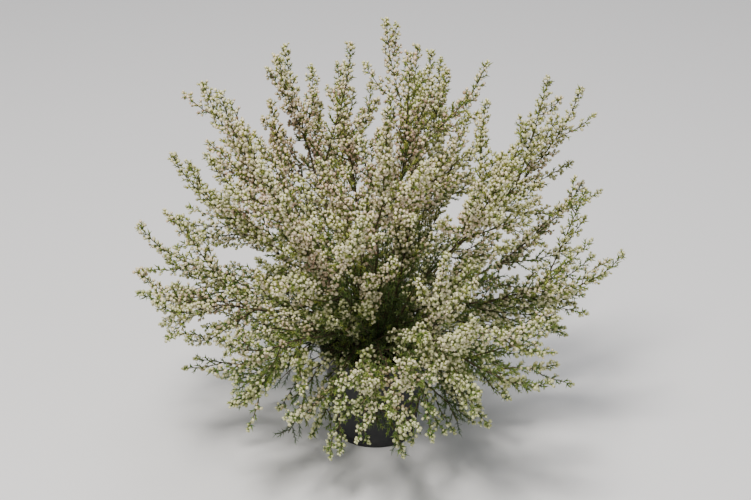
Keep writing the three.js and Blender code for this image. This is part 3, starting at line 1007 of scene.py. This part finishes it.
def makeSoil():
    # a body of peat with a lumpy top, and loose crumbs on it
    soil = {
        "rings": 24, "steps": 96, "lump": 7 * mm, "crumb": 2.2 * mm, "height": 1.5 * mm, "fineShare": 0.6,
        "footShare": 0.8, "edgeShare": 0.995, "edgeDrop": 3 * mm, "dome": 2.2 * mm, "lumpy": 2.6 * mm,
        "smoothEdge": 3 * mm, "offset": Vector((7, 3, 1)),
    }
    crumbs = {
        "count": 500, "radius": 1 * mm, "edge": 2 * mm, "sink": 1.4 * mm, "heights": (-0.4, 0.6), "tumble": 6,
        "long": (0.5, 2.0), "wide": (0.4, 0.9), "tall": (0.3, 0.8),
    }
    radius = soilHigh.x
    edge = radius * soil["edgeShare"]
    profile = [(0, soilLow.z), (radius * soil["footShare"], soilLow.z), (edge, soilTop - soil["edgeDrop"])]
    for i in range(soil["rings"] + 1):
        share = 1 - i / soil["rings"]
        profile.append((edge * share, soilTop - soil["dome"] * share))
    bm = spun(profile, soil["steps"])
    for v in bm.verts:
        if v.co.z > soilTop - soil["lumpy"]:
            big = noise.noise(v.co / soil["lump"])
            small = noise.noise(v.co / soil["crumb"] + soil["offset"])
            inside = clamp((radius - v.co.xy.length) / soil["smoothEdge"], 0, 1)
            v.co.z += soil["height"] * (big + soil["fineShare"] * small) * inside
    rng = random.Random(77)
    crumb = bmesh.new()
    bmesh.ops.create_icosphere(crumb, subdivisions=1, radius=crumbs["radius"])
    crumbMesh = bpy.data.meshes.new("crumb")
    crumb.to_mesh(crumbMesh)
    crumb.free()
    for _ in range(crumbs["count"]):
        away, around = (radius - crumbs["edge"]) * math.sqrt(rng.random()), rng.random() * math.tau
        z = soilTop - crumbs["sink"] + rng.uniform(*crumbs["heights"]) * mm
        point = Vector((away * math.cos(around), away * math.sin(around), z))
        turn = Matrix.Rotation(rng.random() * crumbs["tumble"], 4, "Z")
        turn = turn @ Matrix.Rotation(rng.random() * crumbs["tumble"], 4, "X")
        stretch = Matrix.Diagonal([rng.uniform(*crumbs[way]) for way in ("long", "wide", "tall")] + [1])
        place(bm, crumbMesh, Matrix.Translation(point) @ turn @ stretch)
    addPiece(bm, "peat_fill", [peat], "soil", "potting_soil")


makePot()
makeSoil()
print("pot and soil made")

sprayCount = sum(name.startswith("flower_spray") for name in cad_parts)
footCount = sum(name.startswith("leafy_stems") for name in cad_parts)
facesOfSprays = [dressSpray(number) for number in range(1, sprayCount + 1)]
print("sprays dressed:", sprayCount, "faces of bells and shoots", [sum(n) for n in zip(*facesOfSprays)])
for number in range(1, footCount + 1):
    print("stems dressed:", number, dressStems(number))


# Stage, light and camera. The floor is a matt painted table top: even, pale and without shine.
def makeStage():
    studio = {"floor": 16.0, "floorColour": "#e4e4e6", "roughness": 0.6}
    bm = bmesh.new()
    bmesh.ops.create_grid(bm, x_segments=1, y_segments=1, size=studio["floor"] / 2)
    mesh = bpy.data.meshes.new("paleFloor")
    bm.to_mesh(mesh)
    bm.free()
    floor = bpy.data.objects.new("paleFloor", mesh)
    bpy.context.scene.collection.objects.link(floor)
    material, _, shader = newMaterial("palePaintedTable")
    shader.inputs["Base Color"].default_value = toLinear(studio["floorColour"])
    shader.inputs["Roughness"].default_value = studio["roughness"]
    mesh.materials.append(material)
    floor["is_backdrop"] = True


def addLight(name, location, size, energy, colour):
    plantMiddle = Vector((0, 0, 0.2))
    data = bpy.data.lights.new(name, "AREA")
    data.shape = "DISK"
    data.size = size
    data.energy = energy
    data.color = toLinear(colour)[:3]
    light = bpy.data.objects.new(name, data)
    light.location = location
    light.rotation_euler = (plantMiddle - light.location).to_track_quat("-Z", "Y").to_euler()
    bpy.context.scene.collection.objects.link(light)


def makeLights():
    lights = {
        "keyLight": {"location": (-0.55, -1.1, 2.55), "size": 0.8, "energy": 108, "colour": "#fffaf2"},
        "fillLight": {"location": (1.7, -1.2, 1.5), "size": 1.8, "energy": 6, "colour": "#f4f7ff"},
        "topLight": {"location": (0.2, 0.9, 2.4), "size": 1.6, "energy": 24, "colour": "#ffffff"},
    }
    sky = {"colour": "#dcdde2", "strength": 0.38}
    for name, light in lights.items():
        addLight(name, **light)
    world = bpy.data.worlds.new("softStudio")
    world.use_nodes = True
    background = world.node_tree.nodes["Background"]
    background.inputs["Color"].default_value = toLinear(sky["colour"])
    background.inputs["Strength"].default_value = sky["strength"]
    bpy.context.scene.world = world


def makeCamera():
    shot = {"elevation": 25, "distance": 2.35, "lens": 107, "target": Vector((0, 0, 0.215))}
    up = math.radians(shot["elevation"])
    camera = bpy.data.objects.new("camera", bpy.data.cameras.new("camera"))
    camera.data.lens = shot["lens"]
    camera.location = shot["target"] + Vector((0, -math.cos(up), math.sin(up))) * shot["distance"]
    camera.rotation_euler = (shot["target"] - camera.location).to_track_quat("-Z", "Y").to_euler()
    bpy.context.scene.collection.objects.link(camera)
    bpy.context.scene.camera = camera


makeStage()
makeLights()
makeCamera()
print("stage, lights and camera set")

boxes = {"cad": cadBox, "visual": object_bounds()}
{name: [list(corner) for corner in box] for name, box in boxes.items()}
